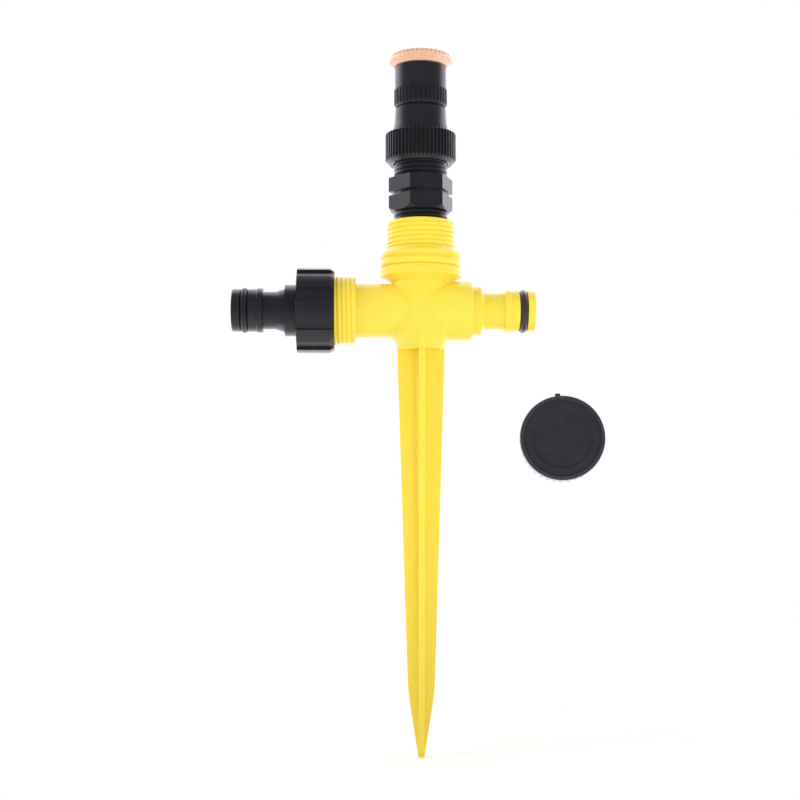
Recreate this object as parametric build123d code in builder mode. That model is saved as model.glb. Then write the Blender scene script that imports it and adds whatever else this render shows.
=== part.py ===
from build123d import *
from math import cos, pi, radians, sin
import os

# A spike sprinkler for a garden hose: a moulded ground spike with a tee on top, a screwed hose
# connector on the inlet, a hose nipple on the outlet, and an adjustable spray head above.
# Frame: +Z up along the head's axis, +X towards the outlet nipple, origin on the axis at the
# ground line, the underside of the tee. All sizes in millimetres. Screw threads are drawn at
# their root: a male core and the female bore on it, thread_gap apart.

# Fits
thread_gap = 0.06       # radial gap between a male core and its female bore
running_gap = 0.08      # radial gap of a piece that turns on another
press_gap = 0.02        # radial gap of a pushed-in piece
plug_gap = 0.05         # radial gap of a plug, sleeve or washer in its seat
cut_past = 1.0          # a cut runs this far past the surface that it opens

knurl_flat = 0.3        # share of a knurl's pitch that its flat crest takes, and its flat root

# Pipe threads
big_core_r = 12.06      # 3/4 inch pipe thread, root and crest radius
big_crest_r = 13.22
small_core_r = 9.32     # 1/2 inch pipe thread, root radius

# Ground spike
spike_length = 155.55   # ground line to tip
rib_thickness = 2.3
spike_top_w = 9.2       # half width of the ribs at the ground line
spike_low_w = 5.05      # half width where the point begins
point_length = 24.6     # the sharper taper at the end
point_round = 75.0      # the rib's outline bends into it in this radius
tip_r = 1.3
spike_core_r = 2.3      # round core that fills the corners between the ribs
spike_core_tip_r = 1.05
gusset_height = 5.5     # the front and back ribs climb the tee this far
gusset_reach = 0.3      # and stand this far proud of it

# Tee
port_height = 15.25     # axis of the two ports above the ground line
boss_r = 9.2
boss_height = 1.4
boss_edge = 0.6
body_r = 11.6
boss_cone = 3.55        # height of the cone from the boss out to the body
body_round = 8.0        # rounding where that cone meets the body
inlet_pipe_r = 10.5
inlet_pipe_end = 25.4   # where the inlet pipe meets its thread, from the axis
inlet_end = 44.0        # end of the threaded inlet
outlet_pipe_r = 11.5
outlet_pipe_end = 19.6
outlet_pipe_edge = 0.5
waterway_r = 8.5        # main bore through the tee
riser_bore_r = 7.0      # bore up to the head

# Crown: coarse rings, then the upper pipe thread
neck_rise = 11.0        # port axis to the flare under the rings
neck_r = 10.8           # the body narrows to this under the flare
neck_cove = 2.0         # hollow rounding from the neck into the flare
flare_height = 2.15     # neck to the lowest ring, out to the rings' own radius
groove_r = 14.8
ring_r = 15.7
ring_bulge = 1.2
low_ring_round = 1.5    # under edge of the lowest ring
low_ring_height = 3.0
mid_ring_height = 3.05
top_ring_height = 1.5
ring_space = 0.55
ring_slope = 2.3        # slope from the top ring down to the thread
crown_thread = 10.3     # straight part of the upper thread core
crown_bevel = 0.7
crown_rim_r = 10.9
socket_mouth_r = 10.6   # mouth of the female thread in the crown
socket_mouth_depth = 1.2
adapter_plug = 12.0     # length of the adapter's lower thread inside the crown

# Outlet nipple, from the pipe's end outwards
shoulder_r = 9.5
shoulder_length = 3.55
nipple_cone = 1.5
outlet_neck_r = 7.08
outlet_neck_length = 7.6
outlet_ridge_r = 8.3
outlet_ridge_length = 2.7
outlet_land_r = 7.9
outlet_land_length = 3.15
outlet_tip_length = 2.85
outlet_bore_r = 4.6
tip_edge = 0.7
nipple_ring_d = 2.9     # section of the rubber rings on both nipples
outlet_ring_proud = 0.6
ring_side_gap = 0.15    # play of a rubber ring along its groove

# Hose connector on the inlet, sizes along the port axis
nut_start = 33.5        # open end of the nut, from the head's axis
nut_length = 14.5
nut_r = 16.45
nut_valley_r = 15.5
nut_ribs = 9
nut_rib_angle = 21.0
nut_turn = 4.5          # degrees that the ribs are turned about the port axis
nut_bevel_length = 1.7  # long bevel at the open end, over the ribs and the valleys
nut_bevel_depth = 1.1
nut_back_bevel = 0.25
nut_mouth_r = 13.6
nut_mouth_depth = 1.0
inlet_washer = 2.5      # thickness of the flat washer in the nut
inlet_washer_bore_r = 7.0
nut_collar_r = 10.0
nut_collar_root = 0.5   # the collar starts this far inside the nut's end
nut_collar_length = 4.6
inlet_flare_r = 8.6
inlet_flare_length = 3.6
inlet_neck_r = 7.29
inlet_neck_length = 4.7
inlet_ridge_r = 8.6
inlet_ridge_length = 2.7
inlet_land_r = 8.25
inlet_land_length = 3.1
inlet_tip_length = 3.3
inlet_bore_r = 4.8
inlet_ring_proud = 0.45
ridge_bevel = 0.3

# Hexagon adapter
adapter_neck = 3.7      # crown rim to the lower hexagon
hex_across = 22.0
hex_turn = 8.9          # degrees about the head's axis
hex_low_height = 6.2
hex_groove_height = 1.5
hex_groove_r = 10.5
hex_top_height = 5.6
hex_bevel_r = 11.2      # the lower hexagon's corners are turned down to this at its end
hex_bevel_height = 0.9
adapter_bore_r = 7.0
adapter_seal_height = 2.0
thread_shown = 5.6      # thread left open under the head's collar
adapter_top_thread = 13.65

# Spray head's holder
collar_r = 13.8
collar_root_r = 13.15
collar_teeth = 55
collar_height = 12.0
collar_rim_r = 12.15
collar_bevel = 1.8
collar_top_bevel = 0.3
collar_mouth_r = 10.85
collar_mouth_depth = 1.5
holder_seal_height = 1.8
holder_height = 9.8     # holder body above the knurled collar
holder_flare_r = 11.2
holder_flare_height = 4.6
holder_flare_cove = 14.0    # hollow rounding from the flare into the taper above
holder_low_r = 10.2
holder_top_r = 9.95
holder_edge = 0.75
plug_bore_r = 8.25

# Filter
filter_flange = 1.0
filter_r = 6.2
filter_wall = 0.8
filter_length = 20.0
filter_windows = 6
filter_window_angle = 38.0
filter_window_height = 14.0
filter_floor = 1.0
mesh_wall = 0.35

# Nozzle core
cavity_r = 5.9
keyway_r = 6.4
keyway_w = 2.2
deck_height = 2.0
deck_drop = 0.75        # underside of the deck below the top of the holder
core_flange_r = 9.0
core_flange = 0.5
sleeve_r = 7.2
channel_r = 4.7
post_r = 3.1
deck_spokes = 3
deck_spoke_w = 1.6
deck_slot_edge = 0.15   # deck slots stay this far from the post and the sleeve
sleeve_drop = 0.55      # sleeve's top below the deflector's cone
core_ring_d = 1.0
core_ring_rise = 1.9    # centre of its groove above the plug's lower end
collar_ring_d = 1.5
collar_ring_rise = 8.0
stop_r = 8.2
stop_height = 1.8
stop_angle = 12.0
stop_middle = 90.0      # the core's stop is at the back, this far round from +X
stop_side_gap = 0.6     # degrees left at each end of the collar's turn

# Arc collar
washer = 0.5
washer_r = 8.9
arc_foot_r = 9.75
arc_foot_bevel = 1.2
arc_ring_r = 10.4
arc_root_r = 9.95
arc_teeth = 37
arc_ring_height = 6.9   # from the collar's foot to the top of the knurl
arc_r = 10.1
arc_height = 16.1
arc_recess_r = 8.3
arc_recess_height = 2.25
lip_drop = 0.2          # collar's top rim below the deflector

# Spray deflector
disc_r = 12.5
disc_top_r = 11.5       # the rim leans in to this at the top
disc_cone_in_r = 9.8
disc_lip_r = 10.35
disc_cone_rise = 1.9    # from the lip to the rim's lower edge
disc_rim_height = 2.4
disc_edge = 0.25
disc_notches = 40
disc_notch_height = 1.15
disc_notch_depth = 0.45
disc_notch_w = 0.75
spigot_r = 2.4
spigot_length = 3.0
hub_height = 0.35

# Flow screw and the throttle that it drives
screw_r = 1.5
screw_head_r = 2.9
screw_head_height = 1.3
screw_head_top_r = 2.45
screw_head_edge = 0.4   # height of the slope from the head's side to its top
screw_slot_w = 0.7
screw_slot_depth = 0.7
screw_recess_r = 3.15
screw_recess_depth = 1.55
screw_ring_d = 0.95
throttle_r = 4.75
throttle_height = 3.6
throttle_travel = 3.0
throttle_end_gap = 0.1
screw_below = 0.5       # screw's end below the open throttle
wing_gap = 0.1

# End cap, which lies beside the spike with its closed face to the front
cap_x = 55.3
cap_z = -33.8
cap_face_y = 2.0
cap_turn = 5.5          # degrees that its face looks to the left of straight ahead
cap_tilt = 3.0          # and above it
cap_r = 16.65
cap_root_r = 16.0
cap_knurls = 36
cap_rim = 2.2           # the face's smooth rim, in front of the knurls
cap_depth = 14.5
cap_face_wall = 2.4
cap_edge = 1.3
cap_dish_r = 11.9
cap_dish_depth = 0.7
cap_dish_bevel = 0.5
cap_thread_gap = 0.06   # the cap's female thread is drawn at its root, outside the male crest
cap_mouth_bevel = 0.6
cap_washer = 2.0
cap_washer_bore_r = 8.0
cap_washer_seat = 0.35  # the washer's undercut is this much wider than the thread
cap_washer_play = 0.3   # and this much higher than the washer
gate_w = 2.0
gate_height = 0.8
gate_length = 1.2
gate_offset = -1.7

# Heights along the head's axis
tip_centre = tip_r - spike_length
point_start = point_length - spike_length
neck_top = port_height + neck_rise
rings_base = neck_top + flare_height
low_ring_top = rings_base + low_ring_height
mid_ring_base = low_ring_top + ring_space
top_ring_base = mid_ring_base + mid_ring_height + ring_space
slope_base = top_ring_base + top_ring_height
crown_base = slope_base + ring_slope
crown_top = crown_base + crown_thread + crown_bevel
plug_base = crown_top - adapter_plug
seal_base = plug_base - adapter_seal_height
hex_base = crown_top + adapter_neck
hex_groove_base = hex_base + hex_low_height
hex_top_base = hex_groove_base + hex_groove_height
thread_base = hex_top_base + hex_top_height
adapter_top = thread_base + adapter_top_thread
collar_base = thread_base + thread_shown
collar_top = collar_base + collar_height
holder_seat = adapter_top + holder_seal_height
core_base = holder_seat + filter_flange
holder_top = collar_top + holder_height
deck_base = holder_top - deck_drop
deck_top = deck_base + deck_height
washer_base = holder_top + core_flange
arc_base = washer_base + washer
arc_top = arc_base + arc_height
disc_base = arc_top + lip_drop
disc_rim_base = disc_base + disc_cone_rise
disc_top = disc_rim_base + disc_rim_height
screw_seat = disc_top - screw_recess_depth
cone_slope = disc_cone_rise / (disc_r - disc_cone_in_r)
hub_base = disc_base - (disc_cone_in_r - post_r) * cone_slope - hub_height
throttle_base = deck_base - throttle_end_gap - throttle_travel - throttle_height

# Places along the port axis
outlet_cone_end = outlet_pipe_end + shoulder_length + nipple_cone
outlet_ridge_start = outlet_cone_end + outlet_neck_length
outlet_land_start = outlet_ridge_start + outlet_ridge_length
outlet_groove_start = outlet_land_start + outlet_land_length
nipple_groove = nipple_ring_d + 2 * ring_side_gap
outlet_tip_start = outlet_groove_start + nipple_groove
outlet_end = outlet_tip_start + outlet_tip_length
nut_end = nut_start + nut_length
nut_floor = inlet_end + inlet_washer
flare_start = nut_end + nut_collar_length
inlet_neck_start = flare_start + inlet_flare_length
inlet_ridge_start = inlet_neck_start + inlet_neck_length
inlet_land_start = inlet_ridge_start + inlet_ridge_length
inlet_groove_start = inlet_land_start + inlet_land_length
inlet_tip_start = inlet_groove_start + nipple_groove
connector_end = inlet_tip_start + inlet_tip_length

port_axis = Axis((0, 0, port_height), (1, 0, 0))
cap_plane = Plane(
    origin=(cap_x, cap_face_y, cap_z),
    x_dir=(cos(radians(cap_turn)), -sin(radians(cap_turn)), 0),
    z_dir=(sin(radians(cap_turn)) * cos(radians(cap_tilt)),
           cos(radians(cap_turn)) * cos(radians(cap_tilt)), -sin(radians(cap_tilt))))
cap_section = Plane(origin=cap_plane.origin, x_dir=cap_plane.x_dir, z_dir=-cap_plane.y_dir)
cap_axis = Axis(cap_plane.origin, cap_plane.z_dir)

os.makedirs("parts", exist_ok=True)


def save(piece, name):
    """Name a finished piece and write its STEP file."""
    piece.label = name
    export_step(piece, f"parts/{name}.step")


def port_points(*pairs):
    """Turn (distance along the port axis, radius) pairs into points of the XZ plane."""
    return [(x, port_height + r) for x, r in pairs]


def cone_z(r):
    """Height of the deflector's spray cone at radius r."""
    return disc_base + (r - disc_cone_in_r) * cone_slope


def knurl_points(count, crest, root):
    """Outline of a knurl: count teeth with flat crests, as points round the centre."""
    step = 2 * pi / count
    half_flat = knurl_flat / 2
    points = []
    for i in range(count):
        for turn, r in ((-0.5 + half_flat, root), (-half_flat, crest), (half_flat, crest),
                        (0.5 - half_flat, root)):
            angle = (i + turn) * step
            points.append((r * cos(angle), r * sin(angle)))
    return points


def sector_points(inner, outer, angle, middle=0.0):
    """Corner points of a ring sector, its outer side drawn past the arc as a chord."""
    half = radians(angle / 2)
    centre = radians(middle)
    reach = outer / cos(half)
    return [(r * cos(centre + a), r * sin(centre + a))
            for r, a in ((inner, -half), (reach, -half), (reach, half), (inner, half))]


# Ground spike, tee, crown and outlet nipple, one yellow moulding
with BuildPart() as spike_body:
    # Boss, body, neck and crown, turned about the head's axis
    with BuildSketch(Plane.XZ) as turned:
        Polygon(
            (0, 0), (boss_r - boss_edge, 0), (boss_r, boss_edge), (boss_r, boss_height),
            (body_r, boss_height + boss_cone), (body_r, port_height), (neck_r, neck_top),
            (ring_r, rings_base), (ring_r, low_ring_top), (groove_r, low_ring_top),
            (groove_r, slope_base), (big_core_r, crown_base),
            (big_core_r, crown_top - crown_bevel), (crown_rim_r, crown_top), (0, crown_top),
            align=None)
        corners = turned.vertices()
        for r, z, rounding in (
                (body_r, boss_height + boss_cone, body_round), (neck_r, neck_top, neck_cove),
                (ring_r, rings_base, low_ring_round), (ring_r, low_ring_top, ring_bulge)):
            fillet(corners.sort_by_distance((r, z))[0], rounding)
        with Locations((ring_r / 2, mid_ring_base + mid_ring_height / 2)):
            RectangleRounded(ring_r, mid_ring_height, ring_bulge)
        Polygon(
            (0, top_ring_base), (ring_r - ring_bulge / 2, top_ring_base),
            (ring_r, top_ring_base + ring_bulge / 2), (ring_r, slope_base),
            (big_crest_r, crown_base), (0, crown_base), align=None)
    revolve(axis=Axis.Z)
    # Inlet pipe with its thread core, outlet pipe and nipple, turned about the port axis
    with BuildSketch(Plane.XZ) as ports:
        Polygon(*port_points(
            (-inlet_end, 0), (-inlet_end, big_core_r - crown_bevel),
            (-inlet_end + crown_bevel, big_core_r), (-inlet_pipe_end, big_core_r),
            (-inlet_pipe_end, inlet_pipe_r), (0, inlet_pipe_r), (0, outlet_pipe_r),
            (outlet_pipe_end, outlet_pipe_r), (outlet_pipe_end, shoulder_r),
            (outlet_pipe_end + shoulder_length, shoulder_r), (outlet_cone_end, outlet_neck_r),
            (outlet_ridge_start, outlet_neck_r),
            (outlet_ridge_start + ridge_bevel, outlet_ridge_r),
            (outlet_land_start - ridge_bevel, outlet_ridge_r),
            (outlet_land_start, outlet_land_r), (outlet_groove_start, outlet_land_r),
            (outlet_groove_start, outlet_land_r + outlet_ring_proud - nipple_ring_d - press_gap),
            (outlet_tip_start, outlet_land_r + outlet_ring_proud - nipple_ring_d - press_gap),
            (outlet_tip_start, outlet_land_r), (outlet_end, outlet_land_r), (outlet_end, 0),
        ), align=None)
        corners = ports.vertices()
        fillet(corners.sort_by_distance((outlet_pipe_end, port_height + outlet_pipe_r))[0],
               outlet_pipe_edge)
        fillet(corners.sort_by_distance((outlet_end, port_height + outlet_land_r))[0], tip_edge)
    revolve(axis=port_axis)
    # Cross-shaped spike: two flat ribs with a rounded tip
    for plane in (Plane.XZ, Plane.YZ):
        with BuildSketch(plane) as rib:
            Polygon(
                (-spike_top_w, boss_height / 2), (-spike_top_w, 0), (-spike_low_w, point_start),
                (-tip_r, tip_centre), (tip_r, tip_centre), (spike_low_w, point_start),
                (spike_top_w, 0), (spike_top_w, boss_height / 2), align=None)
            corners = rib.vertices()
            fillet([corners.sort_by_distance((side * spike_low_w, point_start))[0]
                    for side in (-1, 1)], point_round)
            with Locations((0, tip_centre)):
                Circle(tip_r)
        extrude(amount=rib_thickness / 2, both=True)
    # Gussets of the front and back ribs, and the slim round core between all four
    with BuildSketch(Plane.YZ):
        for side in (-1, 1):
            Polygon(
                (0, 0), (side * (boss_r + gusset_reach), 0),
                (side * (body_r + gusset_reach), gusset_height), (0, gusset_height),
                align=None)
    extrude(amount=rib_thickness / 2, both=True)
    with BuildSketch(Plane.XZ):
        Polygon((0, 0), (spike_core_r, 0), (spike_core_tip_r, tip_centre + tip_r),
                (0, tip_centre + tip_r), align=None)
    revolve(axis=Axis.Z)
    # Waterways: socket for the adapter, riser, main bore and the nipple's bore
    with BuildSketch(Plane.XZ):
        Polygon(
            (0, port_height), (riser_bore_r, port_height), (riser_bore_r, seal_base),
            (small_core_r + thread_gap, seal_base),
            (small_core_r + thread_gap, crown_top - socket_mouth_depth),
            (socket_mouth_r, crown_top), (0, crown_top), align=None)
    revolve(axis=Axis.Z, mode=Mode.SUBTRACT)
    with BuildSketch(Plane.XZ):
        Polygon(*port_points(
            (-inlet_end, 0), (-inlet_end, waterway_r),
            (outlet_pipe_end - waterway_r / 2 + outlet_bore_r / 2, waterway_r),
            (outlet_pipe_end + waterway_r / 2 - outlet_bore_r / 2, outlet_bore_r),
            (outlet_end, outlet_bore_r), (outlet_end, 0)), align=None)
    revolve(axis=port_axis, mode=Mode.SUBTRACT)
save(spike_body.part, "spike_body")


# Rubber ring on the outlet nipple
with BuildPart() as outlet_o_ring:
    with BuildSketch(Plane.XZ):
        with Locations((outlet_groove_start + nipple_groove / 2,
                        port_height + outlet_land_r + outlet_ring_proud - nipple_ring_d / 2)):
            Circle(nipple_ring_d / 2)
    revolve(axis=port_axis)
save(outlet_o_ring.part, "outlet_o_ring")


# Flat washer between the inlet's end and the floor of the connector's nut
with BuildPart() as connector_gasket:
    with BuildSketch(Plane.XZ):
        Polygon(*port_points(
            (-nut_floor, inlet_washer_bore_r), (-nut_floor, big_core_r - plug_gap),
            (-inlet_end, big_core_r - plug_gap), (-inlet_end, inlet_washer_bore_r)), align=None)
    revolve(axis=port_axis)
save(connector_gasket.part, "connector_gasket")


# Hose connector: ribbed nut, collar and nipple, one black moulding
with BuildPart() as hose_connector:
    with BuildSketch(Plane.YZ.offset(-nut_start)):
        with Locations((0, port_height)):
            Circle(nut_r)
            with PolarLocations(0, nut_ribs, start_angle=nut_turn):
                Polygon(*sector_points(nut_valley_r, nut_r + cut_past,
                                       360 / nut_ribs - nut_rib_angle),
                        align=None, mode=Mode.SUBTRACT)
    extrude(amount=-nut_length)
    with BuildSketch(Plane.XZ):
        Polygon(*port_points(
            (-nut_start, 0), (-nut_start, nut_r - nut_bevel_depth),
            (-nut_start - nut_bevel_length, nut_r), (-nut_end + nut_back_bevel, nut_r),
            (-nut_end, nut_r - nut_back_bevel), (-nut_end, 0)), align=None)
    revolve(axis=port_axis, mode=Mode.INTERSECT)
    with BuildSketch(Plane.XZ) as nipple:
        ring_seat_r = inlet_land_r + inlet_ring_proud - nipple_ring_d - press_gap
        Polygon(*port_points(
            (-nut_end + nut_collar_root, 0), (-nut_end + nut_collar_root, nut_collar_r),
            (-flare_start, nut_collar_r),
            (-flare_start, inlet_flare_r), (-inlet_neck_start, inlet_neck_r),
            (-inlet_ridge_start, inlet_neck_r), (-inlet_ridge_start - ridge_bevel, inlet_ridge_r),
            (-inlet_land_start + ridge_bevel, inlet_ridge_r), (-inlet_land_start, inlet_land_r),
            (-inlet_groove_start, inlet_land_r), (-inlet_groove_start, ring_seat_r),
            (-inlet_tip_start, ring_seat_r), (-inlet_tip_start, inlet_land_r),
            (-connector_end, inlet_land_r), (-connector_end, 0)), align=None)
        corners = nipple.vertices()
        fillet(corners.sort_by_distance((-connector_end, port_height + inlet_land_r))[0], tip_edge)
        fillet(corners.sort_by_distance((-flare_start, port_height + nut_collar_r))[0], tip_edge)
    revolve(axis=port_axis)
    with BuildSketch(Plane.XZ):
        Polygon(*port_points(
            (-nut_start, 0), (-nut_start, nut_mouth_r),
            (-nut_start - nut_mouth_depth, big_core_r + thread_gap),
            (-nut_floor, big_core_r + thread_gap), (-nut_floor, inlet_bore_r),
            (-connector_end, inlet_bore_r), (-connector_end, 0)), align=None)
    revolve(axis=port_axis, mode=Mode.SUBTRACT)
save(hose_connector.part, "hose_connector")


# Rubber ring on the connector's nipple
with BuildPart() as connector_o_ring:
    with BuildSketch(Plane.XZ):
        with Locations((-inlet_groove_start - nipple_groove / 2,
                        port_height + inlet_land_r + inlet_ring_proud - nipple_ring_d / 2)):
            Circle(nipple_ring_d / 2)
    revolve(axis=port_axis)
save(connector_o_ring.part, "connector_o_ring")


# Flat seal at the bottom of the crown's socket
with BuildPart() as adapter_seal:
    with BuildSketch(Plane.XZ):
        Polygon((adapter_bore_r, seal_base), (small_core_r - plug_gap, seal_base),
                (small_core_r - plug_gap, plug_base), (adapter_bore_r, plug_base), align=None)
    revolve(axis=Axis.Z)
save(adapter_seal.part, "adapter_seal")


# Hexagon adapter: two spanner hexagons with a groove between, a thread core at each end
with BuildPart() as hex_adapter:
    for base, height in ((hex_base, hex_low_height), (hex_top_base, hex_top_height)):
        with BuildSketch(Plane.XY.offset(base)):
            RegularPolygon(hex_across / 2, 6, major_radius=False, rotation=hex_turn)
        extrude(amount=height)
    with BuildSketch(Plane.XZ):
        Polygon((0, hex_base), (hex_bevel_r, hex_base),
                (hex_across, hex_base + hex_bevel_height * (hex_across - hex_bevel_r)),
                (hex_across, thread_base), (0, thread_base), align=None)
    revolve(axis=Axis.Z, mode=Mode.INTERSECT)
    with BuildSketch(Plane.XZ):
        Polygon((0, plug_base), (small_core_r, plug_base), (small_core_r, hex_base),
                (hex_groove_r, hex_base), (hex_groove_r, thread_base),
                (small_core_r, thread_base), (small_core_r, adapter_top), (0, adapter_top),
                align=None)
    revolve(axis=Axis.Z)
    with BuildSketch(Plane.XY.offset(plug_base)):
        Circle(adapter_bore_r)
    extrude(amount=adapter_top - plug_base, mode=Mode.SUBTRACT)
save(hex_adapter.part, "hex_adapter")


# Flat seal on the adapter's upper end
with BuildPart() as holder_gasket:
    with BuildSketch(Plane.XZ):
        Polygon((adapter_bore_r + plug_gap, adapter_top), (small_core_r - plug_gap, adapter_top),
                (small_core_r - plug_gap, holder_seat), (adapter_bore_r + plug_gap, holder_seat),
                align=None)
    revolve(axis=Axis.Z)
save(holder_gasket.part, "holder_gasket")


# Nozzle holder: knurled collar with the female thread, tapered body above it
with BuildPart() as nozzle_holder:
    with BuildSketch(Plane.XY.offset(collar_base)):
        Polygon(*knurl_points(collar_teeth, collar_r, collar_root_r), align=None)
    extrude(amount=collar_height)
    with BuildSketch(Plane.XZ):
        Polygon((0, collar_base), (collar_rim_r, collar_base),
                (collar_r, collar_base + collar_bevel), (collar_r, collar_top - collar_top_bevel),
                (collar_r - collar_top_bevel, collar_top), (0, collar_top), align=None)
    revolve(axis=Axis.Z, mode=Mode.INTERSECT)
    with BuildSketch(Plane.XZ) as holder_shape:
        Polygon((0, collar_base + collar_bevel), (collar_mouth_r, collar_base + collar_bevel),
                (holder_flare_r, collar_top), (holder_low_r, collar_top + holder_flare_height),
                (holder_top_r, holder_top), (0, holder_top), align=None)
        corners = holder_shape.vertices()
        fillet(corners.sort_by_distance((holder_low_r, collar_top + holder_flare_height))[0],
               holder_flare_cove)
        fillet(corners.sort_by_distance((holder_top_r, holder_top))[0], holder_edge)
    revolve(axis=Axis.Z)
    with BuildSketch(Plane.XZ):
        Polygon((0, collar_base), (collar_mouth_r, collar_base),
                (small_core_r + thread_gap, collar_base + collar_mouth_depth),
                (small_core_r + thread_gap, holder_seat), (plug_bore_r, holder_seat),
                (plug_bore_r, holder_top), (0, holder_top), align=None)
    revolve(axis=Axis.Z, mode=Mode.SUBTRACT)
save(nozzle_holder.part, "nozzle_holder")


# Filter frame: flange under the core, windowed tube that hangs in the adapter
with BuildPart() as filter_basket:
    filter_base = holder_seat - filter_length
    with BuildSketch(Plane.XZ):
        Polygon((0, filter_base), (filter_r, filter_base), (filter_r, holder_seat),
                (plug_bore_r - plug_gap, holder_seat), (plug_bore_r - plug_gap, core_base),
                (filter_r - filter_wall, core_base),
                (filter_r - filter_wall, filter_base + filter_floor),
                (0, filter_base + filter_floor), align=None)
    revolve(axis=Axis.Z)
    window_base = filter_base + (filter_length - filter_window_height) / 2
    with BuildSketch(Plane.XY.offset(window_base)):
        with PolarLocations(0, filter_windows):
            Polygon(*sector_points(filter_r / 2, filter_r + cut_past, filter_window_angle),
                    align=None)
    extrude(amount=filter_window_height, mode=Mode.SUBTRACT)
save(filter_basket.part, "filter_basket")


# Filter gauze, a thin sleeve inside the frame
with BuildPart() as filter_mesh:
    with BuildSketch(Plane.XY.offset(holder_seat - filter_length + filter_floor)):
        Circle(filter_r - filter_wall - plug_gap)
        Circle(filter_r - filter_wall - plug_gap - mesh_wall, mode=Mode.SUBTRACT)
    extrude(amount=filter_length - filter_floor)
save(filter_mesh.part, "filter_mesh")


# Nozzle core: plug in the holder, slotted deck, sleeve that the arc collar turns on, centre post
with BuildPart() as nozzle_core:
    plug_r = plug_bore_r - plug_gap
    core_ring_z = core_base + core_ring_rise
    core_groove = core_ring_d / 2 + ring_side_gap
    core_seat_r = plug_bore_r - press_gap - core_ring_d - press_gap
    collar_ring_z = arc_base + collar_ring_rise
    collar_groove = collar_ring_d / 2 + ring_side_gap
    collar_seat_r = sleeve_r + running_gap / 2 - collar_ring_d - press_gap
    with BuildSketch(Plane.XZ):
        Polygon(
            (cavity_r, core_base), (plug_r, core_base), (plug_r, core_ring_z - core_groove),
            (core_seat_r, core_ring_z - core_groove), (core_seat_r, core_ring_z + core_groove),
            (plug_r, core_ring_z + core_groove), (plug_r, holder_top),
            (core_flange_r, holder_top), (core_flange_r, washer_base), (sleeve_r, washer_base),
            (sleeve_r, collar_ring_z - collar_groove),
            (collar_seat_r, collar_ring_z - collar_groove),
            (collar_seat_r, collar_ring_z + collar_groove),
            (sleeve_r, collar_ring_z + collar_groove),
            (sleeve_r, cone_z(sleeve_r) - sleeve_drop),
            (channel_r, cone_z(channel_r) - sleeve_drop), (channel_r, deck_top),
            (post_r, deck_top), (post_r, hub_base), (spigot_r + press_gap, hub_base),
            (spigot_r + press_gap, hub_base - spigot_length),
            (screw_r + plug_gap, hub_base - spigot_length), (screw_r + plug_gap, deck_base),
            (cavity_r, deck_base), align=None)
    revolve(axis=Axis.Z)
    with BuildSketch(Plane.XY.offset(deck_base)):
        Circle(channel_r - deck_slot_edge)
        Circle(post_r + deck_slot_edge, mode=Mode.SUBTRACT)
        with PolarLocations(channel_r / 2, deck_spokes):
            Rectangle(channel_r, deck_spoke_w, mode=Mode.SUBTRACT)
    extrude(amount=deck_height, mode=Mode.SUBTRACT)
    with BuildSketch(Plane.XY.offset(core_base)):
        Rectangle(2 * keyway_r, keyway_w)
        Circle(cavity_r / 2, mode=Mode.SUBTRACT)
    extrude(amount=deck_base - core_base, mode=Mode.SUBTRACT)
    with BuildSketch(Plane.XY.offset(arc_base + plug_gap)):
        Circle(stop_r)
        Circle(sleeve_r - plug_gap, mode=Mode.SUBTRACT)
        Polygon(*sector_points(post_r, stop_r + cut_past, stop_angle, middle=stop_middle),
                align=None, mode=Mode.INTERSECT)
    extrude(amount=stop_height)
save(nozzle_core.part, "nozzle_core")


# Rubber ring round the core's plug
with BuildPart() as core_o_ring:
    with BuildSketch(Plane.XZ):
        with Locations((plug_bore_r - press_gap - core_ring_d / 2, core_base + core_ring_rise)):
            Circle(core_ring_d / 2)
    revolve(axis=Axis.Z)
save(core_o_ring.part, "core_o_ring")


# Thin washer that the arc collar slides on
with BuildPart() as collar_washer:
    with BuildSketch(Plane.XY.offset(washer_base)):
        Circle(washer_r)
        Circle(sleeve_r + running_gap, mode=Mode.SUBTRACT)
    extrude(amount=washer)
save(collar_washer.part, "collar_washer")


# Rubber ring between the core's sleeve and the arc collar, which holds the collar where it is set
with BuildPart() as collar_o_ring:
    with BuildSketch(Plane.XZ):
        with Locations((sleeve_r + running_gap / 2 - collar_ring_d / 2,
                        arc_base + collar_ring_rise)):
            Circle(collar_ring_d / 2)
    revolve(axis=Axis.Z)
save(collar_o_ring.part, "collar_o_ring")


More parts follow.
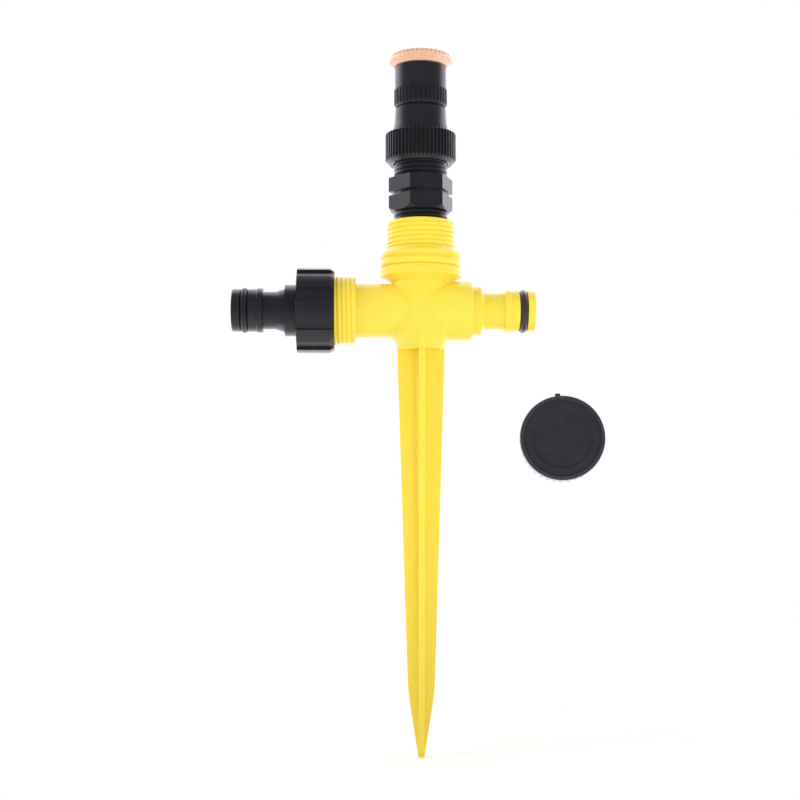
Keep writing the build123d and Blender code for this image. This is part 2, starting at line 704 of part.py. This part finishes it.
# Arc collar: knurled foot, plain barrel, conical lip parallel to the deflector's cone
with BuildPart() as arc_collar:
    bore_r = sleeve_r + running_gap
    with BuildSketch(Plane.XY.offset(arc_base)):
        Polygon(*knurl_points(arc_teeth, arc_ring_r, arc_root_r), align=None)
    extrude(amount=arc_ring_height)
    with BuildSketch(Plane.XZ):
        Polygon((0, arc_base), (arc_foot_r, arc_base), (arc_ring_r, arc_base + arc_foot_bevel),
                (arc_ring_r, arc_base + arc_ring_height), (0, arc_base + arc_ring_height),
                align=None)
    revolve(axis=Axis.Z, mode=Mode.INTERSECT)
    with BuildSketch(Plane.XZ):
        Polygon((bore_r, arc_base + arc_foot_bevel), (arc_foot_r, arc_base + arc_foot_bevel),
                (arc_r, arc_base + arc_ring_height), (arc_r, arc_top - lip_drop),
                (disc_cone_in_r, arc_top), (bore_r, cone_z(bore_r) - lip_drop), align=None)
    revolve(axis=Axis.Z)
    with BuildSketch(Plane.XZ):
        Polygon((0, arc_base), (arc_recess_r, arc_base),
                (arc_recess_r, arc_base + arc_recess_height),
                (bore_r, arc_base + arc_recess_height), (bore_r, arc_top), (0, arc_top),
                align=None)
    revolve(axis=Axis.Z, mode=Mode.SUBTRACT)
    with BuildSketch(Plane.XY.offset(arc_base + plug_gap)):
        Circle(arc_recess_r + plug_gap)
        Circle(bore_r, mode=Mode.SUBTRACT)
        Polygon(*sector_points(post_r, arc_ring_r, stop_angle,
                               middle=stop_middle - stop_angle - stop_side_gap),
                align=None, mode=Mode.INTERSECT)
    extrude(amount=arc_recess_height - plug_gap)
save(arc_collar.part, "arc_collar")


# Spray deflector: notched disc with a conical underside, on a spigot pushed into the core's post
with BuildPart() as spray_deflector:
    with BuildSketch(Plane.XZ) as disc_shape:
        Polygon(
            (0, hub_base - spigot_length + press_gap),
            (spigot_r, hub_base - spigot_length + press_gap), (spigot_r, hub_base),
            (post_r, hub_base), (post_r, hub_base + hub_height), (disc_cone_in_r, disc_base),
            (disc_lip_r, disc_base), (disc_lip_r, cone_z(disc_lip_r)), (disc_r, disc_rim_base),
            (disc_top_r, disc_top), (screw_recess_r, disc_top), (screw_recess_r, screw_seat),
            (screw_r + screw_ring_d + press_gap, screw_seat),
            (screw_r + screw_ring_d + press_gap, screw_seat - screw_ring_d - press_gap),
            (screw_r + plug_gap, screw_seat - screw_ring_d - press_gap),
            (screw_r + plug_gap, hub_base - spigot_length + press_gap), align=None)
        corners = disc_shape.vertices()
        fillet(corners.sort_by_distance((disc_top_r, disc_top))[0], disc_edge)
        fillet(corners.sort_by_distance((disc_r, disc_rim_base))[0], disc_edge)
    revolve(axis=Axis.Z)
    with BuildSketch(Plane.XY.offset(disc_top)):
        with PolarLocations(disc_r, disc_notches):
            Rectangle(2 * (disc_r - disc_top_r + disc_notch_depth), disc_notch_w)
    extrude(amount=-disc_notch_height, mode=Mode.SUBTRACT)
save(spray_deflector.part, "spray_deflector")


# Steel flow screw: slotted head in the deflector, long shank down to the throttle
with BuildPart() as flow_screw:
    with BuildSketch(Plane.XZ):
        Polygon((0, throttle_base - screw_below), (screw_r, throttle_base - screw_below),
                (screw_r, screw_seat), (screw_head_r, screw_seat),
                (screw_head_r, screw_seat + screw_head_height - screw_head_edge),
                (screw_head_top_r, screw_seat + screw_head_height),
                (0, screw_seat + screw_head_height), align=None)
    revolve(axis=Axis.Z)
    with BuildSketch(Plane.XY.offset(screw_seat + screw_head_height)):
        Rectangle(2 * screw_head_r, screw_slot_w)
    extrude(amount=-screw_slot_depth, mode=Mode.SUBTRACT)
save(flow_screw.part, "flow_screw")


# Rubber ring under the flow screw's head
with BuildPart() as flow_screw_o_ring:
    with BuildSketch(Plane.XZ):
        with Locations((screw_r + press_gap / 2 + screw_ring_d / 2,
                        screw_seat - screw_ring_d / 2 - press_gap / 2)):
            Circle(screw_ring_d / 2 - press_gap / 4)
    revolve(axis=Axis.Z)
save(flow_screw_o_ring.part, "flow_screw_o_ring")


# Throttle nut on the screw, kept from turning by its two wings in the core's keyways
with BuildPart() as throttle_nut:
    with BuildSketch(Plane.XY.offset(throttle_base)):
        Circle(throttle_r)
        Rectangle(2 * (keyway_r - wing_gap), keyway_w - 2 * wing_gap)
        Circle(screw_r + plug_gap, mode=Mode.SUBTRACT)
    extrude(amount=throttle_height)
save(throttle_nut.part, "throttle_nut")


# End cap: smooth rim, knurled skirt, dished face, female pipe thread open to the back
with BuildPart() as end_cap:
    cap_bore_r = big_crest_r + cap_thread_gap
    washer_seat_r = cap_bore_r + cap_washer_seat
    with BuildSketch(cap_plane):
        Polygon(*knurl_points(cap_knurls, cap_r, cap_root_r), align=None)
    extrude(amount=cap_depth)
    with BuildSketch(cap_plane):
        Circle(cap_r + cut_past)
    extrude(amount=cap_rim)
    with BuildSketch(cap_section) as skirt:
        Polygon((0, 0), (cap_r, 0), (cap_r, cap_depth), (0, cap_depth), align=None)
        corners = skirt.vertices()
        fillet(corners.sort_by_distance((cap_r, 0))[0], cap_edge)
        chamfer(corners.sort_by_distance((cap_r, cap_depth))[0], cap_mouth_bevel)
    revolve(axis=cap_axis, mode=Mode.INTERSECT)
    with BuildSketch(cap_plane.offset(cap_edge)):
        with Locations((gate_offset, -cap_root_r - gate_height / 2)):
            Rectangle(gate_w, gate_height + 2 * (cap_r - cap_root_r))
    extrude(amount=gate_length)
    with BuildSketch(cap_section):
        Polygon((0, 0), (cap_dish_r, 0), (cap_dish_r - cap_dish_bevel, cap_dish_depth),
                (0, cap_dish_depth), align=None)
        Polygon((0, cap_face_wall), (washer_seat_r, cap_face_wall),
                (washer_seat_r, cap_face_wall + cap_washer + cap_washer_play),
                (cap_bore_r, cap_face_wall + cap_washer + cap_washer_play),
                (cap_bore_r, cap_depth - cap_mouth_bevel),
                (cap_bore_r + cap_mouth_bevel, cap_depth), (0, cap_depth), align=None)
    revolve(axis=cap_axis, mode=Mode.SUBTRACT)
save(end_cap.part, "end_cap")


# Flat washer on the floor of the end cap, held in its undercut
with BuildPart() as end_cap_gasket:
    with BuildSketch(cap_plane.offset(cap_face_wall)):
        Circle(washer_seat_r - plug_gap)
        Circle(cap_washer_bore_r, mode=Mode.SUBTRACT)
    extrude(amount=cap_washer)
save(end_cap_gasket.part, "end_cap_gasket")
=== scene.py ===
from math import pi, radians

import bpy
import numpy as np
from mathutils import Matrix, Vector


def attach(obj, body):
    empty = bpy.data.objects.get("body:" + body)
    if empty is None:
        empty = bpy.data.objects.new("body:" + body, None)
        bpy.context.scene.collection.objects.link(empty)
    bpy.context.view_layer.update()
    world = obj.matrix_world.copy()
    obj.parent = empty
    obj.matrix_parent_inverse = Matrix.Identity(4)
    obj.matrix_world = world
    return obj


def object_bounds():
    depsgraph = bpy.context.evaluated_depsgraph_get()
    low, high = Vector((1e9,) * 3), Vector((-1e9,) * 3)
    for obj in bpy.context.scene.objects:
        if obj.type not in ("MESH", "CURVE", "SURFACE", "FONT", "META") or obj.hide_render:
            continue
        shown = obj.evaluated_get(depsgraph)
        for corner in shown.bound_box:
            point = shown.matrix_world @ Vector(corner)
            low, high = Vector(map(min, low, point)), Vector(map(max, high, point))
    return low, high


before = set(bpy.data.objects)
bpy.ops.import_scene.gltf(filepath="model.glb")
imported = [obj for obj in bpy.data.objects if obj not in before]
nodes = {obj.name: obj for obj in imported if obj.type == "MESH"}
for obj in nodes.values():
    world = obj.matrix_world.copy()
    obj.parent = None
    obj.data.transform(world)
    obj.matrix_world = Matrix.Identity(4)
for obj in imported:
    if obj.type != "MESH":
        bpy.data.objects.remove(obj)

cad_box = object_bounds()
mm = 0.001

# Camera
# A 63 mm lens on a 36 mm sensor, half a metre in front and a little below the middle of the
# sprinkler, looking up by four degrees.
camera = bpy.data.objects.new("camera", bpy.data.cameras.new("camera"))
bpy.context.scene.collection.objects.link(camera)
bpy.context.scene.camera = camera
camera.data.lens = 63.0
camera.data.sensor_width = 36.0
camera.data.clip_start = 0.01
look_at = Vector((-8.1, 0.0, -19.45)) * mm
camera.location = Vector((-24.1, -540.2, -61.0)) * mm
camera.rotation_euler = (look_at - camera.location).to_track_quat("-Z", "Y").to_euler()


# Studio
# A small white floor under the tip, a white sweep behind, and soft light from all round. Shiny
# pieces see the sweep behind them, the dim room in front and a paler one low down.
def add_node(tree, kind, settings=None, **links):
    """Add a node with its settings and links. A link's value is a socket or a plain value, and
    its name is the input's, lower case with _ for spaces, or in_0, in_1 by place."""
    made = tree.nodes.new(kind)
    for key, value in (settings or {}).items():
        setattr(made, key, value)
    for key, value in links.items():
        if key.startswith("in_"):
            socket = made.inputs[int(key[3:])]
        else:
            socket = next(s for s in made.inputs if s.name.lower().replace(" ", "_") == key)
        if isinstance(value, bpy.types.NodeSocket):
            tree.links.new(value, socket)
        else:
            socket.default_value = value
    return made


def linear(colour):
    """Turn an sRGB hex colour into linear red, green, blue and a solid alpha."""
    values = [int(colour[i:i + 2], 16) / 255 for i in (0, 2, 4)]
    return tuple(v / 12.92 if v <= 0.04045 else ((v + 0.055) / 1.055) ** 2.4 for v in values) + (1,)


bpy.context.scene.view_settings.view_transform = "Standard"
room_level = 0.87       # light that falls on the pieces from all round
overhead_level = 0.65   # and from straight above
dim_side = 0.18         # what shiny pieces see of the room in front
low_side = 0.6          # below it
bright_side = 2.5       # and of the lit sweep behind
sweep_from = 0.08       # how far back, as a share of a unit direction, the sweep begins
sweep_full = 0.26
low_from = -0.6         # and how far down the room is at its low level
floor_glow = 0.30       # what the floor adds where it is looked at or mirrored

world = bpy.data.worlds.new("soft_studio")
bpy.context.scene.world = world
world.use_nodes = True
tree = world.node_tree
tree.nodes.clear()
ray = add_node(tree, "ShaderNodeLightPath")
heading = add_node(tree, "ShaderNodeSeparateXYZ",
                   vector=add_node(tree, "ShaderNodeTexCoord").outputs["Generated"])
front = add_node(tree, "ShaderNodeMapRange", value=heading.outputs["Z"], from_min=low_from,
                 from_max=0.0, to_min=low_side, to_max=dim_side)
sweep = add_node(tree, "ShaderNodeMapRange", {"interpolation_type": "SMOOTHSTEP"},
                 value=heading.outputs["Y"], from_min=sweep_from, from_max=sweep_full,
                 to_min=front.outputs["Result"], to_max=bright_side)
room = add_node(tree, "ShaderNodeMapRange", value=heading.outputs["Z"],
                to_min=room_level, to_max=overhead_level)
shiny = add_node(tree, "ShaderNodeMix", factor=ray.outputs["Is Glossy Ray"],
                 in_2=room.outputs["Result"], in_3=sweep.outputs["Result"])
seen = add_node(tree, "ShaderNodeMath", {"operation": "MAXIMUM"},
                in_0=ray.outputs["Is Camera Ray"], in_1=ray.outputs["Is Transmission Ray"])
level = add_node(tree, "ShaderNodeMix", factor=seen.outputs[0], in_2=shiny.outputs[0], in_3=1.0)
tint = add_node(tree, "ShaderNodeMix", {"data_type": "RGBA"}, in_0=ray.outputs["Is Glossy Ray"],
                in_6=linear("ffffff"), in_7=linear("f4f0fc"))
background = add_node(tree, "ShaderNodeBackground", color=tint.outputs[2],
                      strength=level.outputs[0])
add_node(tree, "ShaderNodeOutputWorld", surface=background.outputs[0])

floor_size = 0.11       # half its side, m, so that light from low down gets past its edges
floor_mesh = bpy.data.meshes.new("floor")
floor_z = cad_box[0].z - 0.05 * mm
floor_mesh.from_pydata([(x * floor_size, y * floor_size, floor_z)
                        for x, y in ((-1, -1), (1, -1), (1, 1), (-1, 1))], [], [(0, 1, 2, 3)])
floor = bpy.data.objects.new("floor", floor_mesh)
bpy.context.scene.collection.objects.link(floor)
paper = bpy.data.materials.new("matt_white_paper")
paper.use_nodes = True
tree = paper.node_tree
tree.nodes.clear()
ray = add_node(tree, "ShaderNodeLightPath")
matt = add_node(tree, "ShaderNodeBsdfDiffuse", color=linear("f2f2f2"))
lit = add_node(tree, "ShaderNodeMath", {"operation": "MAXIMUM"},
               in_0=ray.outputs["Is Camera Ray"], in_1=ray.outputs["Is Glossy Ray"])
lift = add_node(tree, "ShaderNodeMath", {"operation": "MULTIPLY"}, in_0=lit.outputs[0],
                in_1=floor_glow)
glow = add_node(tree, "ShaderNodeEmission", color=(1.0, 1.0, 1.0, 1.0), strength=lift.outputs[0])
both = add_node(tree, "ShaderNodeAddShader", in_0=matt.outputs[0], in_1=glow.outputs[0])
add_node(tree, "ShaderNodeOutputMaterial", surface=both.outputs[0])
floor_mesh.materials.append(paper)

for name, place, width, power in (
        ("window_below", (0.2, -0.8, -0.45), 0.6, 2.2),
        ("window_left", (-0.9, -0.35, 0.25), 0.6, 2.6),
        ("window_right", (0.9, -0.45, -0.05), 0.6, 1.8)):
    lamp = bpy.data.objects.new(name, bpy.data.lights.new(name, "AREA"))
    bpy.context.scene.collection.objects.link(lamp)
    lamp.data.shape = "DISK"
    lamp.data.size = width
    lamp.data.energy = power
    lamp.location = Vector(place)
    lamp.rotation_euler = (look_at - lamp.location).to_track_quat("-Z", "Y").to_euler()
    lamp.visible_glossy = False
    lamp.visible_camera = False


# Yellow moulding: spike, tee, crown and outlet nipple
# Injection-moulded polypropylene, dyed right through: a soft satin skin that light sinks into a
# little, so the shades between its ribs and rings stay warm.
def smooth_skin(piece, material, sharp=32.0):
    """Dress a piece: join the mesh's edges, round the shading where faces meet by less than the
    sharp angle, and give it its material."""
    mesh = piece.data
    mesh.materials.clear()
    mesh.materials.append(material)
    mesh.polygons.foreach_set("use_smooth", np.ones(len(mesh.polygons), bool))
    weld = piece.modifiers.new("weld", "WELD")
    weld.merge_threshold = 1e-6
    split = piece.modifiers.new("split", "EDGE_SPLIT")
    split.split_angle = radians(sharp)
    split.use_edge_sharp = False


patch_size = 6          # patches over which a plastic's colour drifts, mm


def plastic_skin(name, colour, shade, roughness, grain, relief, edge=0.0, soak=0.0):
    """A moulded plastic: its colour drifts a little to the shade from patch to patch, and fine
    grain of the given size in mm lifts the skin by relief mm. Its edges catch the light as if
    rounded over edge mm, and light sinks into it over soak mm."""
    made = bpy.data.materials.new(name)
    made.use_nodes = True
    tree = made.node_tree
    tree.nodes.clear()
    place = add_node(tree, "ShaderNodeTexCoord").outputs["Object"]
    patches = add_node(tree, "ShaderNodeTexNoise", vector=place, scale=1 / (patch_size * mm),
                       detail=2.0)
    drift = add_node(tree, "ShaderNodeMapRange", value=patches.outputs["Fac"],
                     from_min=0.35, from_max=0.7)
    tint = add_node(tree, "ShaderNodeMix", {"data_type": "RGBA"}, in_0=drift.outputs[0],
                    in_6=linear(colour), in_7=linear(shade))
    speckle = add_node(tree, "ShaderNodeTexNoise", vector=place, scale=1 / (grain * mm),
                       detail=3.0)
    skin = add_node(tree, "ShaderNodeBump", strength=1.0, distance=relief * mm,
                    height=speckle.outputs["Fac"])
    if edge:
        rounding = add_node(tree, "ShaderNodeBevel", {"samples": 6}, radius=edge * mm)
        tree.links.new(rounding.outputs[0], skin.inputs["Normal"])
    wear = add_node(tree, "ShaderNodeMapRange", value=speckle.outputs["Fac"],
                    from_min=0.3, from_max=0.7, to_min=roughness - 0.04, to_max=roughness + 0.05)
    surface = add_node(tree, "ShaderNodeBsdfPrincipled", base_color=tint.outputs[2],
                       roughness=wear.outputs[0], normal=skin.outputs[0], ior=1.49)
    if soak:
        surface.inputs["Subsurface Weight"].default_value = 0.5
        surface.inputs["Subsurface Scale"].default_value = soak * mm
        surface.inputs["Subsurface Radius"].default_value = (1.0, 0.8, 0.25)
    add_node(tree, "ShaderNodeOutputMaterial", surface=surface.outputs[0])
    return made


def closed_ring(name, rows, body, material, sharp=32.0):
    """Make a piece from a grid of points, rows by turns by 3 in mm, that closes both ways like a
    ring doughnut. The faces are turned outwards where the enclosed volume comes out negative."""
    down, across = rows.shape[:2]
    index = np.arange(down * across).reshape(down, across)
    beside = np.roll(index, -1, axis=1)
    below = np.roll(index, -1, axis=0)
    corner = np.roll(beside, -1, axis=0)
    faces = np.stack([index, beside, corner, below], axis=-1).reshape(-1, 4)
    points = rows.reshape(-1, 3) * mm
    a, b, c, d = (points[faces[:, i]] for i in range(4))
    volume = np.einsum("ij,ij->", a, np.cross(b, c)) + np.einsum("ij,ij->", a, np.cross(c, d))
    if volume < 0:
        faces = faces[:, ::-1]
    mesh = bpy.data.meshes.new(name)
    mesh.from_pydata(points, [], faces)
    piece = bpy.data.objects.new(name, mesh)
    bpy.context.scene.collection.objects.link(piece)
    smooth_skin(piece, material, sharp)
    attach(piece, body)
    return piece


def screw_ridge(start, end, root, crest, flat, frame_at, run_out=0.0, turns=180):
    """Rows of a pipe thread, from start to end along its axis. The radius is the crest, flat for
    a share of the pitch, with a hollow down to the root between, and moves on one pitch for each
    turn, so the thread is right-handed. It fades to the root over run_out mm at its inner end
    and over one bevel at its mouth. frame_at puts a point across and along the axis in place."""
    along = np.arange(start, end, pipe_pitch / rows_per_pitch)
    angle = np.linspace(0, 2 * pi, turns, endpoint=False)
    s, turn = np.meshgrid(along, angle, indexing="ij")
    from_crest = np.abs(2 * ((s / pipe_pitch - turn / (2 * pi)) % 1) - 1)
    ridge = 0.5 + 0.5 * np.cos(pi * np.clip((from_crest - flat) / (1 - flat), 0, 1))
    if run_out:
        ridge = ridge * np.clip((s - start) / run_out, 0, 1)
    ridge = np.minimum(ridge, np.clip((end - s) / thread_bevel, 0, 1))
    radius = root + (crest - root) * ridge
    inner = np.full((1, turns), root - thread_sunk)
    radius = np.concatenate([inner, radius, inner])
    s = np.concatenate([s[:1], s, s[-1:]])
    turn = np.concatenate([turn[:1], turn, turn[-1:]])
    return frame_at(radius * np.cos(turn), radius * np.sin(turn), s)


pipe_pitch = 1.814      # both pipe threads, mm
rows_per_pitch = 30
thread_bevel = 1.0
thread_sunk = 1.6       # the thread's skin reaches this far below its root, into the solid core
cove_backing = 1.6      # and the coves' this far below the skins that they join
port_height = 15.25     # axis of both ports above the ground line
big_crest_r = 13.22
inlet_root_r, crown_root_r = 12.7, 12.65
inlet_pipe_end, inlet_end = 25.4, 44.0
crown_base, crown_top = 39.35, 50.35
inlet_mouth, crown_mouth = 0.3, 0.4     # plain ends past the two threads
skin_lift = 0.03        # new skins stand this far off the solid below them
search_to = 40.0        # the coves' centres are nearer the axis than this

yellow = plastic_skin("moulded_yellow_polypropylene", "fee14b", "fee352", 0.38, 0.5, 0.004,
                      soak=0.8)
smooth_skin(nodes["spike_body"], yellow)

closed_ring("inlet_thread",
            screw_ridge(inlet_pipe_end, inlet_end - inlet_mouth, inlet_root_r, big_crest_r, 0.4,
                        lambda a, b, s: np.stack([-s, -a, port_height + b], axis=-1)),
            "base", yellow)
closed_ring("crown_thread",
            screw_ridge(crown_base, crown_top - crown_mouth, crown_root_r, big_crest_r, 0.45,
                        lambda a, b, s: np.stack([a, b, s], axis=-1), run_out=0.6),
            "base", yellow)


def nearest_on(profile, radius, height):
    """Distance from each point (radius, height) to a profile of straight runs, and the nearest
    point on it: the least over the runs of the distance to the point's foot on each run."""
    best = np.full(radius.shape, 1e9)
    foot_r, foot_h = np.zeros_like(radius), np.zeros_like(radius)
    for (r0, h0), (r1, h1) in zip(profile, profile[1:]):
        share = ((radius - r0) * (r1 - r0) + (height - h0) * (h1 - h0)) / (
            (r1 - r0) ** 2 + (h1 - h0) ** 2)
        share = np.clip(share, 0, 1)
        r, h = r0 + share * (r1 - r0), h0 + share * (h1 - h0)
        gap = np.hypot(radius - r, height - h)
        near = gap < best
        best = np.where(near, gap, best)
        foot_r, foot_h = np.where(near, r, foot_r), np.where(near, h, foot_h)
    return best, foot_r, foot_h


def rounded(corner, before, after, radius, steps=8):
    """Points of the arc that rounds a profile's corner, tangent to the runs on both sides."""
    corner, before, after = (np.array(p, float) for p in (corner, before, after))
    back = (before - corner) / np.linalg.norm(before - corner)
    ahead = (after - corner) / np.linalg.norm(after - corner)
    half = np.arccos(back @ ahead) / 2
    middle = (back + ahead) / np.linalg.norm(back + ahead)
    centre = corner + middle * radius / np.sin(half)
    start, stop = (corner + way * radius / np.tan(half) - centre for way in (back, ahead))
    bend = pi - 2 * half
    share = np.linspace(0, 1, steps)[:, None]
    arc = (np.sin((1 - share) * bend) * start + np.sin(share * bend) * stop) / np.sin(bend)
    return [tuple(point) for point in centre + arc]


def port_cove(side, pipe_r, over, beside, under, steps=14, turns=160):
    """Rows of the hollow fillet where a port's pipe meets the turned body: a ball rolls round the
    joint, touching the pipe and the body's profile, and leaves the arc between its two touching
    points, backed by rows deep in the solid. Its radius goes from over, above the pipe, to beside
    it and to under it, and its centre is found by halving along the port axis."""
    turn = np.linspace(0, 2 * pi, turns, endpoint=False)
    rise = np.cos(turn)
    cove_r = beside + np.where(rise > 0, over - beside, under - beside) * rise ** 2
    y = (pipe_r + cove_r) * np.sin(turn)
    z = port_height + (pipe_r + cove_r) * np.cos(turn)
    low, high = np.zeros(turns), np.full(turns, search_to)
    for _ in range(40):
        x = (low + high) / 2
        gap, _, _ = nearest_on(body_profile, np.hypot(x, y), z)
        outside = gap > cove_r
        inside_body = np.hypot(x, y) < np.interp(z, body_heights, body_radii)
        free = outside & ~inside_body
        low, high = np.where(free, low, x), np.where(free, x, high)
    centre = np.stack([side * high, y, z], axis=-1)
    _, foot_r, foot_z = nearest_on(body_profile, np.hypot(high, y), z)
    spread = foot_r / np.hypot(high, y)
    on_body = np.stack([side * high * spread, y * spread, foot_z], axis=-1)
    on_pipe = np.stack([side * high, y * pipe_r / (pipe_r + cove_r),
                        port_height + (z - port_height) * pipe_r / (pipe_r + cove_r)], axis=-1)
    share = np.linspace(0, 1, steps)[:, None, None]
    spoke = (1 - share) * (on_body - centre) + share * (on_pipe - centre)
    arc = centre + spoke / np.linalg.norm(spoke, axis=-1, keepdims=True) * (
        cove_r[:, None] - skin_lift)
    deep = [(point + (point - centre) / cove_r[:, None] * cove_backing)[None]
            for point in (on_pipe, (on_body + on_pipe) / 2, on_body)]
    return np.concatenate([arc, *deep])


# The turned body that the pipes run into: boss, rounded cone, barrel, neck and the flare
boss_top, barrel_foot, barrel_end = (9.2, 1.4), (11.6, 4.95), (11.6, port_height)
neck, flare_end = (10.8, 26.25), (15.7, 28.4)
body_profile = ((8.6, 0.0), (9.2, 0.6), boss_top, *rounded(barrel_foot, boss_top, barrel_end, 8.0),
                barrel_end, *rounded(neck, barrel_end, flare_end, 2.0), flare_end)
body_radii = [r for r, _ in body_profile]
body_heights = [h for _, h in body_profile]
for name, side, pipe_r in (("inlet_cove", -1, 10.5), ("outlet_cove", 1, 11.5)):
    closed_ring(name, port_cove(side, pipe_r, over=0.4, beside=2.6, under=1.3), "base",
                yellow, sharp=60.0)


# Hose connector
# Ribbed nut, collar and hose nipple in one black ABS moulding, satin with a fine tool grain,
# screwed on the inlet thread.
black = plastic_skin("moulded_black_abs", "1f1e22", "242328", 0.33, 0.35, 0.006, edge=0.18)
smooth_skin(nodes["hose_connector"], black)

# Hexagon adapter
# Black moulding with two spanner hexagons and a half-inch pipe thread at each end.
small_root_r, small_crest_r = 9.7, 10.48
hex_base, hex_top = 54.05, 67.35
lower_from, upper_to = 48.85, 74.0  # the threads run on, out of sight, in the crown and the head
hex_overlap = 0.2
smooth_skin(nodes["hex_adapter"], black)
closed_ring("adapter_lower_thread",
            screw_ridge(lower_from, hex_base + hex_overlap, small_root_r, small_crest_r, 0.3,
                        lambda a, b, s: np.stack([a, b, s], axis=-1)),
            "base", black)
closed_ring("adapter_upper_thread",
            screw_ridge(hex_top - hex_overlap, upper_to, small_root_r, small_crest_r, 0.3,
                        lambda a, b, s: np.stack([a, b, s], axis=-1)),
            "base", black)

# Spray head
# Knurled collar and tapered holder, nozzle core and the arc collar, all black mouldings.
for name in ("nozzle_holder", "nozzle_core", "arc_collar", "filter_basket", "collar_washer",
             "throttle_nut"):
    smooth_skin(nodes[name], black)

# Spray deflector
# Notched disc moulded in peach acetal, slightly see-through at its thin rim.
peach = plastic_skin("moulded_peach_acetal", "efbf9f", "f1c5a9", 0.38, 0.4, 0.003, soak=0.5)
smooth_skin(nodes["spray_deflector"], peach)

# Flow screw
# Turned stainless steel, with fine rings left by the lathe tool.
steel = bpy.data.materials.new("turned_stainless_steel")
steel.use_nodes = True
tree = steel.node_tree
tree.nodes.clear()
place = add_node(tree, "ShaderNodeTexCoord").outputs["Object"]
rings = add_node(tree, "ShaderNodeTexWave", {"wave_type": "RINGS", "rings_direction": "Z"},
                 vector=place, scale=1 / (0.5 * mm), distortion=0.4, detail=1.0)
lathe = add_node(tree, "ShaderNodeBump", strength=0.4, distance=0.01 * mm,
                 height=rings.outputs["Fac"])
surface = add_node(tree, "ShaderNodeBsdfPrincipled", base_color=linear("c4c2be"), metallic=1.0,
                   roughness=0.3, normal=lathe.outputs[0])
add_node(tree, "ShaderNodeOutputMaterial", surface=surface.outputs[0])
smooth_skin(nodes["flow_screw"], steel)

# Rubber rings and washers
# Nitrile rubber, dull black with a faint bloom; the ring on the outlet is glossier, with painted
# brown reflection.
rubber = plastic_skin("moulded_nitrile_rubber", "1b1a1c", "242225", 0.45, 0.3, 0.004)
for name in ("connector_o_ring", "core_o_ring", "collar_o_ring", "flow_screw_o_ring",
             "connector_gasket", "adapter_seal", "holder_gasket", "end_cap_gasket"):
    smooth_skin(nodes[name], rubber)
# The outlet ring's lighter brown colour is painted reflection of the yellow moulding around it.
rubber_with_painted_reflection = plastic_skin("moulded_brown_nitrile_rubber", "3b302e", "463a36", 0.25, 0.3, 0.004)
smooth_skin(nodes["outlet_o_ring"], rubber_with_painted_reflection)

# Filter gauze
# Woven nylon, shown as a fine noise grain in its skin.
gauze = plastic_skin("woven_nylon_gauze", "cfcbc0", "bdb9ae", 0.5, 0.5, 0.05)
smooth_skin(nodes["filter_mesh"], gauze)

# End cap
# Knurled black moulding, lying beside the spike with its mouth to the back. A low bead runs
# round its face.
cap_black = plastic_skin("moulded_black_polyethylene", "2c2a32", "312f38", 0.3, 0.35, 0.004,
                         edge=0.3)
smooth_skin(nodes["end_cap"], cap_black)

cap_face = np.array([55.3, 2.0, -33.8])                     # middle of its face
cap_inward = np.array([0.095714, 0.994032, -0.052336])      # and the way into it
bead_r, bead_section = 15.2, 0.45
level_way = np.cross(cap_inward, (0, 0, 1))
level_way /= np.linalg.norm(level_way)
turn = np.linspace(0, 2 * pi, 160, endpoint=False)[None, :, None]
roll = np.linspace(0, 2 * pi, 12, endpoint=False)[:, None, None]
outward = np.cos(turn) * level_way + np.sin(turn) * np.cross(level_way, cap_inward)
closed_ring("end_cap_bead",
            cap_face + (bead_r + bead_section * np.cos(roll)) * outward
            + bead_section * np.sin(roll) * cap_inward,
            "end_cap", cap_black, sharp=60.0)
